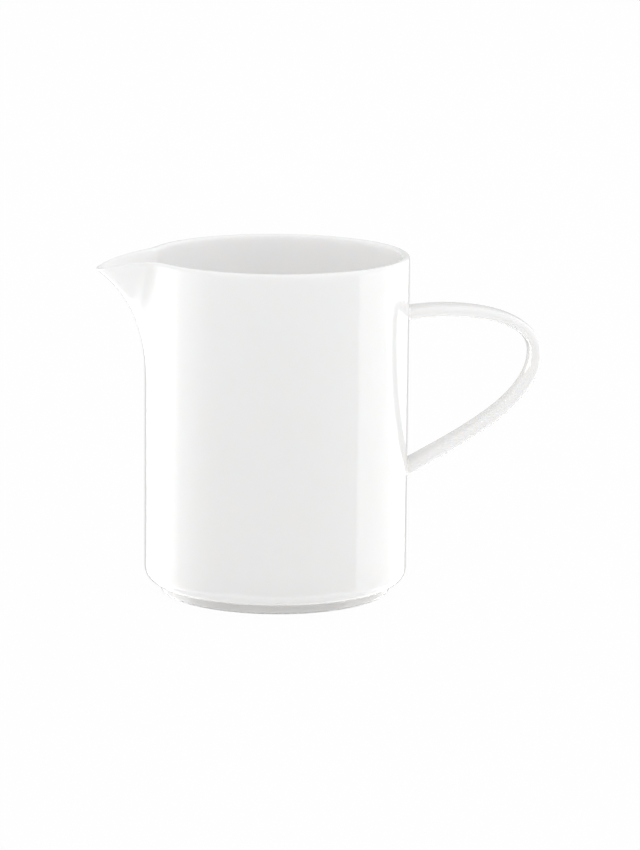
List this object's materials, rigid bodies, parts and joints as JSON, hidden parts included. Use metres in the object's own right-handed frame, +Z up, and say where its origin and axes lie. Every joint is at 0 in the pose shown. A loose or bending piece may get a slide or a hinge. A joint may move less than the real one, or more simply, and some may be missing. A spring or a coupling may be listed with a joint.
{
  "type": "porcelain creamer",
  "caption": "Straight-sided white porcelain creamer with a pulled pouring spout, a slim looped strap handle and a recessed foot ring.",
  "frame": {"origin": "centre of the foot ring, on the surface that the creamer stands on", "axes": "+Z up along the body's axis, the spout points along -X and the handle along +X"},
  "size_m": [0.1278, 0.075, 0.097],
  "materials": {
    "glaze": "clear gloss glaze over white porcelain, bare on the standing edge of the foot ring"
  },
  "bodies": {
    "root": {"creamer": "glaze"}
  },
  "joints": []
}
